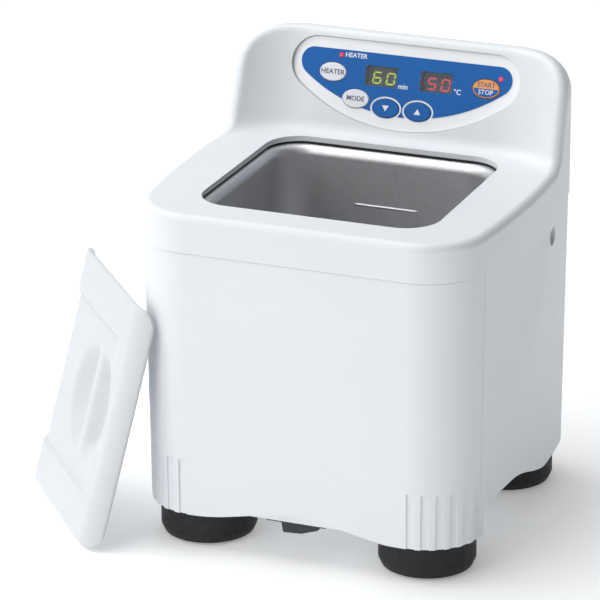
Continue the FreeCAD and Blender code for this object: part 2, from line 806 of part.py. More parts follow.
keep(group("RearScrews", [rear_screw(i, x, z) for i, (x, z) in enumerate(REAR_SCREWS)]), "rear_screws")


# ---------------------------------------------------------------- tank

def edge_at(height):
    """A test for the level edges of the tank's own walls at a height, not those of its flange."""
    def wanted(bounds):
        level = abs(bounds.ZMin - height) < 0.01 and abs(bounds.ZMax - height) < 0.01
        across = max(abs(bounds.XMin), abs(bounds.XMax)) < size("tank_half") + 2
        return level and across and bounds.YMin > size("tank_front") - 2 and bounds.YMax < size("tank_rear") + 2
    return wanted


def tank():
    body = new_body("Tank")
    flange = new_sketch(body, "TankFlange", "XY_Plane", "flange_top-tank_sheet")
    round_rectangle(flange, "-tank_half-tank_flange", "tank_front-tank_flange", "tank_half+tank_flange",
                    "tank_rear+tank_flange", "tank_corner+tank_flange")
    pad(body, flange, "FlangePad", "tank_sheet")
    walls = new_sketch(body, "TankWalls", "XY_Plane", "flange_top-tank_sheet")
    round_rectangle(walls, "-tank_half-tank_sheet", "tank_front-tank_sheet", "tank_half+tank_sheet",
                    "tank_rear+tank_sheet", "tank_corner+tank_sheet")
    pad(body, walls, "WallPad", "flange_top-tank_floor", True)
    hollow = new_sketch(body, "TankHollow", "XY_Plane", "flange_top")
    round_rectangle(hollow, "-tank_half", "tank_front", "tank_half", "tank_rear", "tank_corner")
    shape = pocket(body, hollow, "Hollow", "flange_top-tank_floor")
    under_floor, under_flange = size("tank_floor") - size("tank_sheet"), size("flange_top") - size("tank_sheet")
    for name, radius, height in (
            ("FloorInside", "tank_floor_radius", size("tank_floor")),
            ("FloorOutside", "tank_floor_radius+tank_sheet", under_floor),
            ("NeckOutside", "tank_roll-tank_sheet", under_flange),
            ("RolledRim", "tank_roll", size("flange_top"))):
        shape = fillet(body, shape, name, radius, edge_at(height))
    return keep(body, "tank")


tank()


def frame_plate(name, label, left, low, right, high, inset, radius, thickness, height):
    """A flat rounded frame round the tank: its window is the outline moved in by the inset."""
    body = new_body(name)
    outline = new_sketch(body, name + "Outline", "XY_Plane", height)
    round_rectangle(outline, left, low, right, high, radius)
    plate = pad(body, outline, name + "Plate", thickness)
    window = new_sketch(body, name + "Window", "XY_Plane", f"{height}+{thickness}")
    round_rectangle(window, f"{left}+{inset}", f"{low}+{inset}", f"{right}-{inset}", f"{high}-{inset}",
                    f"{radius}-{inset}")
    pocket(body, window, name + "Open", f"{thickness}+1")
    return keep(body, label) if label else body


frame_plate("Gasket", "tank_gasket", "-opening_half-gasket_width", "opening_front-gasket_width",
            "opening_half+gasket_width", "opening_rear+gasket_width", "gasket_width-0.6",
            "opening_corner+gasket_width", "deck_height-cover_wall-flange_top", "flange_top")
frame_plate("ClampFrame", None, "-tank_half-tank_flange-4", "tank_front-tank_flange-4",
            "tank_half+tank_flange+4", "tank_rear+tank_flange+4", "9", "tank_corner+tank_flange+4",
            "1.5", "flange_top-tank_sheet-1.5")
clamp_holes = [rod(f"ClampHole{i}", "1.45", "4", (x, y, "flange_top-tank_sheet-3")) for i, (x, y) in
               enumerate(CLAMP_POINTS)]
keep(cut("ClampFrameDrilled", doc.ClampFrame, group("ClampHoles", clamp_holes)), "tank_clamp_frame")


def clamp_screw(index, x, y):
    head = rod(f"ClampHead{index}", "2.6", "1.8", (x, y, "flange_top-tank_sheet-3.3"))
    shank = rod(f"ClampShank{index}", "1.25", "5.2", (x, y, "flange_top-tank_sheet-1.6"))
    return fuse(f"ClampScrew{index}", [head, shank])


keep(group("ClampScrews", [clamp_screw(i, x, y) for i, (x, y) in enumerate(CLAMP_POINTS)]), "clamp_screws")

MIDDLE_Y = "(tank_front+tank_rear)/2"
for name, at in (("left_heater_mat", "-tank_half-tank_sheet-2"), ("right_heater_mat", "tank_half+tank_sheet")):
    keep(box(name, ("2", "76", "64"), (at, f"{MIDDLE_Y}-38", "tank_floor+16")), name)

probe = fuse("Probe", [
    box("ProbePad", ("14", "1.5", "22"), ("-7", "tank_front-tank_sheet-1.5", "tank_floor+20")),
    rod("ProbeTube", "2.4", "16", ("0", "tank_front-tank_sheet-3.4", "tank_floor+23"))])
keep(probe, "temperature_probe")
cutout = fuse("Cutout", [
    rod("CutoutDisc", "8", "5", ("30", "tank_rear+tank_sheet", "tank_floor+40"), "y"),
    box("CutoutEars", ("24", "0.8", "9"), ("18", "tank_rear+tank_sheet", "tank_floor+35.5"))])
keep(cutout, "thermal_cutout")

# Ultrasonic transducer bonded under the tank floor: horn, piezo rings, back mass, bolt
TANK_UNDER = "tank_floor-tank_sheet"
keep(revolve("TransducerHorn", [("4.2", f"{TANK_UNDER}-20"), ("14", f"{TANK_UNDER}-20"), ("14", f"{TANK_UNDER}-15"),
                                ("24", f"{TANK_UNDER}-4"), ("24", TANK_UNDER), ("4.2", TANK_UNDER)]),
     "transducer_horn")


def piezo_ring(index):
    low = f"{TANK_UNDER}-20-{5 * (index + 1)}"
    ring_body = revolve(f"PiezoRing{index}", [("5.5", f"{low}+0.3"), ("13", f"{low}+0.3"), ("13", f"{low}+5"),
                                             ("5.5", f"{low}+5")])
    return ring_body


keep(group("PiezoRings", [piezo_ring(0), piezo_ring(1)]), "piezo_rings")
keep(revolve("BackMass", [("4.2", f"{TANK_UNDER}-42"), ("14", f"{TANK_UNDER}-42"), ("14", f"{TANK_UNDER}-30"),
                          ("4.2", f"{TANK_UNDER}-30")]), "transducer_back_mass")
keep(fuse("TransducerBolt", [
    rod("BoltShank", "4", "38", ("0", "0", f"{TANK_UNDER}-42")),
    rod("BoltHead", "6.5", "3", ("0", "0", f"{TANK_UNDER}-45"))]), "transducer_bolt")
for label in ("transducer_horn", "piezo_rings", "transducer_back_mass", "transducer_bolt"):
    part = next(node for node in nodes if node.Label == label)
    bind(part, "Placement.Base.y", MIDDLE_Y)


# ---------------------------------------------------------------- control panel pieces

def in_panel(label, shape):
    return solid(label, shape, panel_frame)


def panel_bezel():
    plate = panel_sheet(bezel_wire(), size("sheet_thickness"), size("bezel_thickness"))
    return plate.cut(panel_openings(-1.0, 12.0, size("panel_fit"), 0.1, 0.2))


def panel_overlay():
    ringed = [oval(*KEYS[name], size("key_ring"), -1.0, 12.0) for name in ("down_key", "up_key")]
    plate = panel_sheet(overlay_wire(), 0.0, size("sheet_thickness"))
    return plate.cut(panel_openings(-1.0, 12.0, size("panel_fit"), 0.1, 0.2) + ringed)


in_panel("panel_bezel", panel_bezel())
in_panel("panel_overlay", panel_overlay())

PLUNGER_FACE, SWITCH_FACE, KEY_BACK, BOARD_FRONT = 6.1, 6.9, 5.5, 9.0
FLANGE_GROW, FLANGE_FRONT, FLANGE_BACK = 0.9, 3.6, 4.4


def key(x, z):
    cap = oval(x, z, 0.0, -size("key_proud"), KEY_BACK)
    front = [edge for edge in cap.Edges if edge.BoundBox.YMax < -size("key_proud") + 0.01]
    return cap.makeFillet(0.5, front).fuse(oval(x, z, FLANGE_GROW, FLANGE_FRONT, FLANGE_BACK)).removeSplitter()


def key_switch(x, z):
    can = block(x, z, 6.0, 6.0, SWITCH_FACE, BOARD_FRONT)
    return can.fuse(lamp(x, z, 1.6, PLUNGER_FACE, SWITCH_FACE))


for name, (x, z) in KEYS.items():
    in_panel(name, key(x, z))
in_panel("key_switches", Part.makeCompound([key_switch(x, z) for x, z in KEYS.values()]))

for name, x in DISPLAYS.items():
    z, width, height = size("display_row"), size("display_width"), size("display_height")
    in_panel(f"{name}_window", block(x, z, width, height, 0.0, 2.0))
    in_panel(f"{name}_display", block(x, z, width + 2.4, height + 3.0, 4.0, BOARD_FRONT))

for name, (x, z) in LAMPS.items():
    body = lamp(x, z, size("lamp_radius"), -0.4, BOARD_FRONT)
    front = [edge for edge in body.Edges if edge.BoundBox.YMax < -0.39]
    in_panel(name, body.makeFillet(0.5, front))


def control_board():
    board = Part.makeBox(120, 1.6, 38, Vector(-60, BOARD_FRONT, -8))
    holes = [lamp(x, z, 1.6, BOARD_FRONT - 1, BOARD_FRONT + 3) for x in (-56.0, 56.0) for z in (-4.0, 26.0)]
    parts = [block(-30.0, 10.0, 10.0, 10.0, 10.6, 12.4), block(0.0, 18.0, 7.0, 5.0, 10.6, 12.0),
             block(34.0, 6.0, 18.0, 6.0, 10.6, 16.0)]
    return board.cut(holes).fuse(parts).removeSplitter()


in_panel("control_board", control_board())


# ---------------------------------------------------------------- driver board in the back

BOARD_HALF, BOARD_LOW, BOARD_HIGH, BOARD_THICKNESS = 50.0, 70.0, 160.0, 1.6
BOARD_NEAR = BOARD_FACE - BOARD_THICKNESS


def driver_board():
    board = Part.makeBox(2 * BOARD_HALF, BOARD_THICKNESS, BOARD_HIGH - BOARD_LOW,
                         Vector(-BOARD_HALF, BOARD_NEAR, BOARD_LOW))
    holes = [Part.makeCylinder(1.5, 10, Vector(x, BOARD_NEAR - 4, z), Vector(0, 1, 0)) for x, z in BOARD_POINTS]
    relay = Part.makeBox(19, 15, 15, Vector(-40, BOARD_NEAR - 15, 84))
    terminals = Part.makeBox(30, 10, 9, Vector(-34, BOARD_NEAR - 10, 71))
    return board.cut(holes).fuse([relay, terminals]).removeSplitter()


def board_screw(x, z):
    head = Part.makeCylinder(2.6, 1.8, Vector(x, BOARD_NEAR - 1.8, z), Vector(0, 1, 0))
    shank = Part.makeCylinder(1.25, 8, Vector(x, BOARD_NEAR - 0.2, z), Vector(0, 1, 0))
    return head.fuse(shank)


def heat_sink():
    base = Part.makeBox(34, 3, 44, Vector(10, BOARD_NEAR - 7, 104))
    fins = [Part.makeBox(1.6, 14, 44, Vector(10 + 5.4 * i, BOARD_NEAR - 20, 104)) for i in range(7)]
    feet = [Part.makeBox(3, 5, 4, Vector(x, BOARD_NEAR - 5, 104)) for x in (12, 38)]
    return base.fuse(fins + feet).removeSplitter()


def transformer():
    core = Part.makeBox(30, 22, 26, Vector(-38, BOARD_NEAR - 23, 108))
    window = Part.makeBox(18, 30, 14, Vector(-32, BOARD_NEAR - 26, 114))
    coil = Part.makeBox(16, 26, 12, Vector(-31, BOARD_NEAR - 26, 115))
    core = core.cut(window)
    bobbin = Part.makeBox(18, 22, 14, Vector(-32, BOARD_NEAR - 22, 114))
    return core.fuse([coil, bobbin]).removeSplitter()


solid("driver_board", driver_board())
solid("board_screws", Part.makeCompound([board_screw(x, z) for x, z in BOARD_POINTS]))
solid("heat_sink", heat_sink())
solid("output_transformer", transformer())
keep(group("Capacitors", [
    rod("CapacitorTall", "7", "24", ("30", f"{BOARD_NEAR}-24", "88"), "y"),
    rod("CapacitorSmall", "5", "16", ("10", f"{BOARD_NEAR}-16", "84"), "y")]), "filter_capacitors")


# ---------------------------------------------------------------- power switch under the front edge

PIVOT_Z, ROCKER_TILT = 23.0, 11.0


def switch_frame():
    return Vector(SWITCH["x"], SWITCH["y"], PIVOT_Z)


def switch_body():
    width, depth, height = SWITCH["width"], SWITCH["depth"], SWITCH["height"]
    low = size("tray_bottom")
    x, y = SWITCH["x"], SWITCH["y"]
    block_ = Part.makeBox(width, depth, height, Vector(x - width / 2, y - depth / 2, low))
    flange = Part.makeBox(width + 4, depth + 4, SWITCH["flange"],
                          Vector(x - width / 2 - 2, y - depth / 2 - 2, low - SWITCH["flange"]))
    cavity = Part.makeBox(22.4, 11.4, 14, Vector(x - 11.2, y - 5.7, low - 2))
    axle = Part.makeCylinder(1.45, 13.4, Vector(x, y - 6.7, PIVOT_Z), Vector(0, 1, 0))
    tabs = [Part.makeBox(0.8, 5, 8, Vector(x + dx, y - 2.5, low + height)) for dx in (-8, 7.2)]
    return block_.fuse([flange] + tabs).cut([cavity, axle]).removeSplitter()


def rocker():
    outline = [Vector(-10.2, 0, 1.5), Vector(10.2, 0, 1.5), Vector(10.4, 0, -6.2), Vector(0, 0, -7.6),
               Vector(-10.4, 0, -6.2)]
    profile = Part.Face(Part.makePolygon(outline + outline[:1]))
    shape = profile.extrude(Vector(0, 10.4, 0)).translated(Vector(0, -5.2, 0))
    low = [edge for edge in shape.Edges if edge.BoundBox.ZMax < -6.0 and edge.BoundBox.YLength > 10]
    shape = shape.makeFillet(0.8, low)
    axle = Part.makeCylinder(1.4, 13.2, Vector(0, -6.6, 0), Vector(0, 1, 0))
    return shape.fuse(axle).removeSplitter()


solid("power_switch_body", switch_body())
solid("power_rocker", rocker(), Placement(switch_frame(), Rotation(Vector(0, 1, 0), -ROCKER_TILT)))


# ---------------------------------------------------------------- mains inlet low on the back

INLET_FACE = 97.1


def chamfered_block(width, height, front, back, cut_corner):
    """A block on the inlet's axis with its two lower corners cut off."""
    w, h = width / 2, height / 2
    x, z = INLET["x"], INLET["z"]
    outline = [(-w, h), (w, h), (w, -h + cut_corner), (w - cut_corner, -h), (-w + cut_corner, -h),
               (-w, -h + cut_corner)]
    points = [Vector(x + px, front, z + pz) for px, pz in outline]
    return Part.Face(Part.makePolygon(points + points[:1])).extrude(Vector(0, back - front, 0))


def mains_inlet():
    wall = INLET["wall"]
    width, height, depth = INLET["width"], INLET["height"], INLET["depth"]
    body = chamfered_block(width, height, INLET_FACE - depth, INLET_FACE, 4.0)
    flange = chamfered_block(INLET["flange_width"], INLET["flange_height"], INLET_FACE - 1.6, INLET_FACE, 4.0)
    socket = chamfered_block(width - 2 * wall, height - 2 * wall, INLET_FACE - INLET["socket_depth"],
                             INLET_FACE + 1, 3.4)
    return body.fuse(flange).cut(socket).removeSplitter()


def inlet_pins():
    solids = []
    floor, back = INLET_FACE - INLET["socket_depth"], INLET_FACE - INLET["depth"]
    for dx, dz, reach in ((-7.0, -1.5, 10.0), (0.0, 2.5, 12.0), (7.0, -1.5, 10.0)):
        x, z = INLET["x"] + dx, INLET["z"] + dz
        solids.append(Part.makeBox(2, reach, 4, Vector(x - 1, floor, z - 2)))
        solids.append(Part.makeBox(0.8, 7, 4.8, Vector(x - 0.4, back - 7, z - 2.4)))
    return Part.makeCompound(solids)


solid("mains_inlet", mains_inlet())
solid("inlet_pins", inlet_pins())


# ---------------------------------------------------------------- loose lid

def lid_section(half, flat, radius, sweep, wall):
    """Cross-section of the lid: a flat middle whose two long sides curl down as round shoulders."""
    turn = math.radians(sweep)

    def on_arc(angle, reach):
        return flat + reach * math.sin(angle), reach * math.cos(angle) - radius

    inner = radius - wall
    top, middle, tip = on_arc(0, radius), on_arc(turn / 2, radius), on_arc(turn, radius)
    tip_in, middle_in, top_in = on_arc(turn, inner), on_arc(turn / 2, inner), on_arc(0, inner)

    def at(point, side):
        return Vector(side * point[0], 0, point[1])

    edges = [Part.makeLine(at(top, -1), at(top, 1))]
    edges.append(Part.Arc(at(top, 1), at(middle, 1), at(tip, 1)).toShape())
    edges.append(Part.makeLine(at(tip, 1), at(tip_in, 1)))
    edges.append(Part.Arc(at(tip_in, 1), at(middle_in, 1), at(top_in, 1)).toShape())
    edges.append(Part.makeLine(at(top_in, 1), at(top_in, -1)))
    edges.append(Part.Arc(at(top_in, -1), at(middle_in, -1), at(tip_in, -1)).toShape())
    edges.append(Part.makeLine(at(tip_in, -1), at(tip, -1)))
    edges.append(Part.Arc(at(tip, -1), at(middle, -1), at(top, -1)).toShape())
    return Part.Face(Part.Wire(edges))


def lid_run(y_low, y_high, drop):
    """A length of the curled plate, set down by drop."""
    wall, radius, sweep = size("lid_wall"), size("lid_shoulder"), size("lid_sweep")
    flat = size("lid_width") / 2 - radius * math.sin(math.radians(sweep))
    section = lid_section(size("lid_width") / 2, flat, radius, sweep, wall)
    section.translate(Vector(0, y_low, -drop))
    return section.extrude(Vector(0, y_high - y_low, 0))


def cone(radius_low, radius_high, low, high):
    return Part.makeCone(radius_low, radius_high, high - low, Vector(0, 0, low))


def lid():
    end, wall, rise = size("lid_length") / 2, size("lid_wall"), size("lid_raise")
    band = end - size("lid_band")
    shape = lid_run(-band - 1, band + 1, rise)
    for low, high in ((band, end), (-end, -band)):
        shape = shape.fuse(lid_run(low, high, 0))
    # Step between the raised end bands and the lower middle
    for low in (band, -band - wall):
        shape = shape.fuse(lid_run(low, low + wall, 0).fuse(lid_run(low, low + wall, rise)))
    # Rounded tips where the curled sides meet the ends
    half, corner = size("lid_width") / 2, size("lid_corner")
    low = size("lid_shoulder") * (math.cos(math.radians(size("lid_sweep"))) - 1) - wall - rise - 2
    tips = Part.makeBox(2 * half + 4, 2 * end, 2 - low, Vector(-half - 2, -end, low))
    lower = [edge for edge in tips.Edges if edge.BoundBox.ZMax < low + 0.01 and edge.BoundBox.XLength > half]
    shape = shape.common(tips.makeFillet(corner, lower))
    # Round dish, pinched into two crescents by a grip ridge
    radius, depth = size("lid_dish_radius"), size("lid_dish_depth")
    floor = -rise - depth
    grip = size("lid_grip") / 2
    bowl = cone(radius - 3, radius + wall, floor - wall, -rise - wall)
    hollow = cone(radius - 5, radius, floor, -rise)
    ridge = Part.makeBox(2 * grip, 3 * radius, 40, Vector(-grip, -1.5 * radius, -20))
    under = Part.makeBox(2 * (grip - wall), 2 * (radius - 7), 40, Vector(wall - grip, 7 - radius, -rise - wall - 40))
    crescents = hollow.cut(ridge)
    soft = [edge for edge in crescents.Edges if edge.BoundBox.ZMax < floor + 0.01]
    crescents = crescents.makeFillet(2.0, soft)
    vent = Part.makeCylinder(1.0, 20, Vector(0, 0, -18))
    shape = shape.fuse(bowl).cut([crescents, under, vent])
    # Ribs under the bands that drop just inside the two sides of the tank opening
    ribs = [Part.makeBox(84, 2.5, 7.0, Vector(-42, y - 1.25, -size("lid_rib_depth"))) for y in (-60.6, 60.6)]
    return shape.fuse(ribs).removeSplitter()


def lid_placement():
    """Standing on one end, leaning back against the front left corner of the case."""
    heading, lean = math.radians(size("lid_heading")), math.radians(size("lid_lean"))
    across = Vector(math.cos(heading), math.sin(heading), 0)
    inward = Vector(-across.y, across.x, 0)
    along = inward * math.cos(lean) + Vector(0, 0, math.sin(lean))
    turn = Rotation(across, along, across.cross(along), "XYZ")
    return Placement(Vector(size("lid_x"), size("lid_y"), size("lid_z")), turn)


solid("lid", lid(), lid_placement())


# ---------------------------------------------------------------- checks and files

doc.recompute()
faults = []
for obj in doc.Objects:
    if {"Invalid", "Error"} & set(obj.State):
        faults.append(f"{obj.Name} is in state {obj.State}")
for node in nodes:
    if node.Shape.isNull() or not node.Shape.isValid() or not node.Shape.Solids:
        faults.append(f"{node.Label} has no valid solid")
for feature in pockets:
    if feature.Shape.Volume >= feature.BaseFeature.Shape.Volume - 1:
        faults.append(f"{feature.Name} removes nothing")
if faults:
    raise RuntimeError("; ".join(faults))

os.makedirs("parts", exist_ok=True)
for node in nodes:
    node.Shape.exportStep(f"parts/{node.Label}.step")
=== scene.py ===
import json
import math

import bmesh
import bpy
from mathutils import Matrix, Vector


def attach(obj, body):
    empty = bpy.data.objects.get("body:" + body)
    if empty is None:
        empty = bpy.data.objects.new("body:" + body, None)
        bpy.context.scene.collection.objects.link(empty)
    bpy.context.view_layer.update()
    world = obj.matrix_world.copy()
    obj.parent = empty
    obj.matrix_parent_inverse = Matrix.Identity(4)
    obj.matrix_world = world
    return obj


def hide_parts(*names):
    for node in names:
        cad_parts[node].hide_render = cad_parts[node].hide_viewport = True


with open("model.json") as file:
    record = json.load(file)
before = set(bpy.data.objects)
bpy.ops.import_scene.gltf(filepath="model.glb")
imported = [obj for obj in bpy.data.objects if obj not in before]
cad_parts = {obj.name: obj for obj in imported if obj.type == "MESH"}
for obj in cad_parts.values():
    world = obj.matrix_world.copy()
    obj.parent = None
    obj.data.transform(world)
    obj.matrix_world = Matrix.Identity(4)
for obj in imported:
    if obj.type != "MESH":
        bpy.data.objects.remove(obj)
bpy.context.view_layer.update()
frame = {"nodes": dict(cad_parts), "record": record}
NODES = frame["nodes"]
MM = 0.001


# ---------------------------------------------------------------- shader graphs

class Graph:
    """One procedural material: a principled shader with nodes added by name."""

    def __init__(self, name):
        self.material = bpy.data.materials.new(name)
        self.material.use_nodes = True
        self.tree = self.material.node_tree
        self.tree.nodes.clear()
        self.output = self.add("ShaderNodeOutputMaterial")
        self.shader = self.add("ShaderNodeBsdfPrincipled")
        self.join(self.shader.outputs[0], self.output.inputs["Surface"])
        self.coords = self.add("ShaderNodeTexCoord").outputs["Object"]

    def add(self, kind, **settings):
        node = self.tree.nodes.new(kind)
        for key, setting in settings.items():
            setattr(node, key, setting)
        return node

    def join(self, source, target):
        self.tree.links.new(source, target)

    def stretched(self, factors):
        node = self.add("ShaderNodeMapping")
        node.inputs["Scale"].default_value = factors
        self.join(self.coords, node.inputs["Vector"])
        return node.outputs["Vector"]

    def grain(self, scale, detail=3.0, roughness=0.5, coords=None):
        node = self.add("ShaderNodeTexNoise")
        node.inputs["Scale"].default_value = scale
        node.inputs["Detail"].default_value = detail
        node.inputs["Roughness"].default_value = roughness
        self.join(coords or self.coords, node.inputs["Vector"])
        return node.outputs["Fac"]

    def remap(self, value, low, high, to_low, to_high):
        node = self.add("ShaderNodeMapRange")
        for label, number in (("From Min", low), ("From Max", high), ("To Min", to_low), ("To Max", to_high)):
            node.inputs[label].default_value = number
        self.join(value, node.inputs["Value"])
        return node.outputs["Result"]

    def blend(self, factor, first, second):
        node = self.add("ShaderNodeMix", data_type="RGBA")
        self.join(factor, node.inputs[0])
        for socket, colour in ((node.inputs[6], first), (node.inputs[7], second)):
            if isinstance(colour, tuple):
                socket.default_value = (*colour[:3], 1.0)
            else:
                self.join(colour, socket)
        return node.outputs[2]

    def relief(self, height, strength, distance, normal=None):
        node = self.add("ShaderNodeBump")
        node.inputs["Strength"].default_value = strength
        node.inputs["Distance"].default_value = distance
        self.join(height, node.inputs["Height"])
        if normal is not None:
            self.join(normal, node.inputs["Normal"])
        return node.outputs["Normal"]

    def set(self, **numbers):
        for label, number in numbers.items():
            self.shader.inputs[label.replace("_", " ")].default_value = number
        return self

    def feed(self, label, source):
        self.join(source, self.shader.inputs[label])
        return self


def shade(colour, factor):
    return tuple(min(1.0, channel * factor) for channel in colour)


def moulded(name, colour, rough=0.4, vary=0.03, grain_scale=2200.0, depth=0.00002, patch=25.0, spec=0.5):
    """Moulded or printed plastic: a fine spark-eroded grain, faint flow shading and uneven gloss."""
    g = Graph(name)
    flow = g.grain(patch, 3.0, 0.55)
    g.feed("Base Color", g.blend(g.remap(flow, 0.3, 0.7, 0.0, 1.0), shade(colour, 1 - vary), shade(colour, 1 + vary)))
    g.feed("Roughness", g.remap(g.grain(patch * 9, 4.0, 0.6), 0.25, 0.75, rough - 0.05, rough + 0.06))
    fine = g.relief(g.grain(grain_scale, 2.0, 0.6), 0.5, depth)
    g.feed("Normal", g.relief(g.grain(patch * 1.6, 1.0, 0.4), 0.25, 0.0001, fine))
    return g.set(Specular_IOR_Level=spec)


def worn_metal(name, colour, rough=0.3, stretch=(1.0, 1.0, 1.0), line_scale=900.0, depth=0.000012, vary=0.06):
    """Metal with drawn or brushed lines, faint stains and uneven polish."""
    g = Graph(name)
    lines = g.grain(line_scale, 3.0, 0.6, g.stretched(stretch))
    cloud = g.grain(16.0, 4.0, 0.6)
    stain = g.remap(cloud, 0.3, 0.7, 0.0, 1.0)
    g.feed("Base Color", g.blend(stain, shade(colour, 1 - vary), shade(colour, 1 + vary)))
    g.feed("Roughness", g.remap(lines, 0.2, 0.8, rough - 0.07, rough + 0.1))
    g.feed("Normal", g.relief(lines, 0.4, depth, g.relief(cloud, 0.15, 0.0003)))
    return g.set(Metallic=1.0)


def rubbery(name, colour, rough=0.62):
    g = Graph(name)
    dust = g.grain(60.0, 5.0, 0.65)
    g.feed("Base Color", g.blend(g.remap(dust, 0.5, 0.8, 0.0, 0.6), colour, shade(colour, 2.2)))
    g.feed("Roughness", g.remap(g.grain(400.0, 3.0), 0.3, 0.7, rough - 0.08, rough + 0.1))
    g.feed("Normal", g.relief(g.grain(1500.0, 3.0, 0.7), 0.6, 0.00005))
    return g.set(Specular_IOR_Level=0.4)


def clear_window(name):
    g = Graph(name)
    smear = g.grain(120.0, 4.0, 0.6)
    g.feed("Base Color", g.blend(g.remap(smear, 0.3, 0.7, 0.0, 1.0), (0.42, 0.44, 0.47), (0.48, 0.50, 0.53)))
    g.feed("Roughness", g.remap(smear, 0.3, 0.7, 0.04, 0.10))
    g.feed("Normal", g.relief(g.grain(40.0, 2.0), 0.1, 0.00004))
    return g.set(Transmission_Weight=0.85, IOR=1.2, Alpha=0.5)


def glowing(name, colour, strength):
    """A lit segment or lamp lens with a brighter core and a little unevenness."""
    g = moulded(name, colour, 0.35, 0.08, 1800.0, 0.00001, 200.0)
    pulse = g.grain(700.0, 2.0)
    g.feed("Emission Color", g.blend(g.remap(pulse, 0.3, 0.7, 0.0, 1.0), shade(colour, 0.9), shade(colour, 1.15)))
    return g.set(Emission_Strength=strength)


def circuit_board(name, colour):
    g = Graph(name)
    tracks = g.add("ShaderNodeTexVoronoi", feature="DISTANCE_TO_EDGE")
    tracks.inputs["Scale"].default_value = 260.0
    g.join(g.coords, tracks.inputs["Vector"])
    line = g.remap(tracks.outputs["Distance"], 0.03, 0.08, 1.0, 0.0)
    g.feed("Base Color", g.blend(line, colour, shade(colour, 1.8)))
    g.feed("Roughness", g.remap(g.grain(90.0), 0.3, 0.7, 0.28, 0.42))
    g.feed("Normal", g.relief(line, 0.3, 0.00004))
    return g.set(Specular_IOR_Level=0.5)


WHITE = (0.80, 0.83, 0.855)
BLUE = (0.008, 0.128, 0.44)
FINISH = {
    "case_white": moulded("HousingWhite", WHITE, 0.38, 0.012, 2400.0, 0.000012, 14.0),
    "panel_white": moulded("PanelWhite", (0.955, 0.96, 0.975), 0.32, 0.012, 2600.0, 0.000008, 30.0),
    "panel_blue": moulded("PanelBlue", BLUE, 0.42, 0.04, 2600.0, 0.000010, 40.0, 0.2),
    "key_blue": moulded("KeyBlue", shade(BLUE, 1.02), 0.4, 0.04, 2600.0, 0.000010, 60.0, 0.2),
    "key_pale": moulded("KeyPale", (0.83, 0.84, 0.90), 0.36, 0.02, 2600.0, 0.000010, 60.0),
    "key_orange": moulded("KeyOrange", (0.90, 0.30, 0.05), 0.36, 0.03, 2600.0, 0.000010, 60.0),
    "display_dark": moulded("DisplayDark", (0.115, 0.125, 0.14), 0.4, 0.06, 1800.0, 0.00001, 90.0),
    "window_clear": clear_window("WindowClear"),
    "lamp_red": glowing("LampRed", (0.80, 0.05, 0.12), 0.25),
    "steel_tank": worn_metal("SteelTank", (0.68, 0.68, 0.69), 0.46, (1.0, 1.0, 1.0), 420.0, 0.000004, 0.03),
    "steel_plain": worn_metal("SteelPlain", (0.46, 0.47, 0.49), 0.34, (1.0, 0.1, 1.0), 900.0),
    "screw_steel": worn_metal("ScrewSteel", (0.60, 0.61, 0.62), 0.3, (1.0, 1.0, 1.0), 1500.0),
    "black_rubber": rubbery("BlackRubber", (0.012, 0.012, 0.014)),
    "black_plastic": moulded("BlackPlastic", (0.022, 0.023, 0.026), 0.42, 0.12, 1600.0, 0.00003, 40.0),
    "heater_silicone": rubbery("HeaterSilicone", (0.45, 0.12, 0.05), 0.6),
    "board_green": circuit_board("BoardGreen", (0.02, 0.16, 0.06)),
    "piezo_ceramic": moulded("PiezoCeramic", (0.30, 0.28, 0.24), 0.55, 0.08, 1200.0, 0.00002, 60.0),
    "horn_aluminium": worn_metal("HornAluminium", (0.68, 0.69, 0.70), 0.28, (0.1, 0.1, 1.0), 1400.0),
    "heat_sink_black": worn_metal("HeatSinkBlack", (0.05, 0.05, 0.055), 0.4, (1.0, 1.0, 0.1), 900.0),
    "copper_coil": worn_metal("CopperCoil", (0.55, 0.22, 0.08), 0.34, (1.0, 1.0, 8.0), 500.0),
    "capacitor_sleeve": moulded("CapacitorSleeve", (0.03, 0.05, 0.14), 0.3, 0.05),
    "pin_brass": worn_metal("PinBrass", (0.66, 0.55, 0.32), 0.28, (1.0, 0.1, 1.0), 1200.0),
}
SLOT_OF = {entry["node"]: entry["material_slot"] for entry in frame["record"]["subparts"]}


def dress_nodes():
    """Give every CAD node its slot's finish."""
    for name, obj in NODES.items():
        finish = FINISH[SLOT_OF[name]].material
        for index in range(len(obj.material_slots)):
            obj.material_slots[index].material = finish


dress_nodes()


# ---------------------------------------------------------------- the panel's own axes

joints = {joint["name"]: joint for joint in frame["record"]["behaviour"]["joints"]}
RIGHT = Vector((1.0, 0.0, 0.0))
INWARD = Vector(joints["heater_key_press"]["axis"]).normalized()
UP = RIGHT.cross(INWARD).normalized()
TURN = Matrix((RIGHT, UP, -INWARD)).transposed().to_4x4()


def panel_box(node):
    """Lowest and highest panel coordinates of a node: across, up the face, and in from the front."""
    points = [Vector((v.co.dot(RIGHT), v.co.dot(UP), v.co.dot(INWARD))) for v in NODES[node].data.vertices]
    low = Vector(min(p[i] for p in points) for i in range(3))
    high = Vector(max(p[i] for p in points) for i in range(3))
    return low, high


def panel_middle(node):
    low, high = panel_box(node)
    return (low + high) / 2


FACE = panel_box("panel_overlay")[0].z


def panel_place(across, up, inward):
    """The matrix that carries a flat drawing (x right, y up, z out) to a place on the panel."""
    origin = RIGHT * across + UP * up + INWARD * inward
    return Matrix.Translation(origin) @ TURN


def new_piece(name, mesh, finish, body):
    obj = bpy.data.objects.new(name, mesh)
    bpy.context.scene.collection.objects.link(obj)
    obj.data.materials.clear()
    obj.data.materials.append(finish)
    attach(obj, body)
    return obj


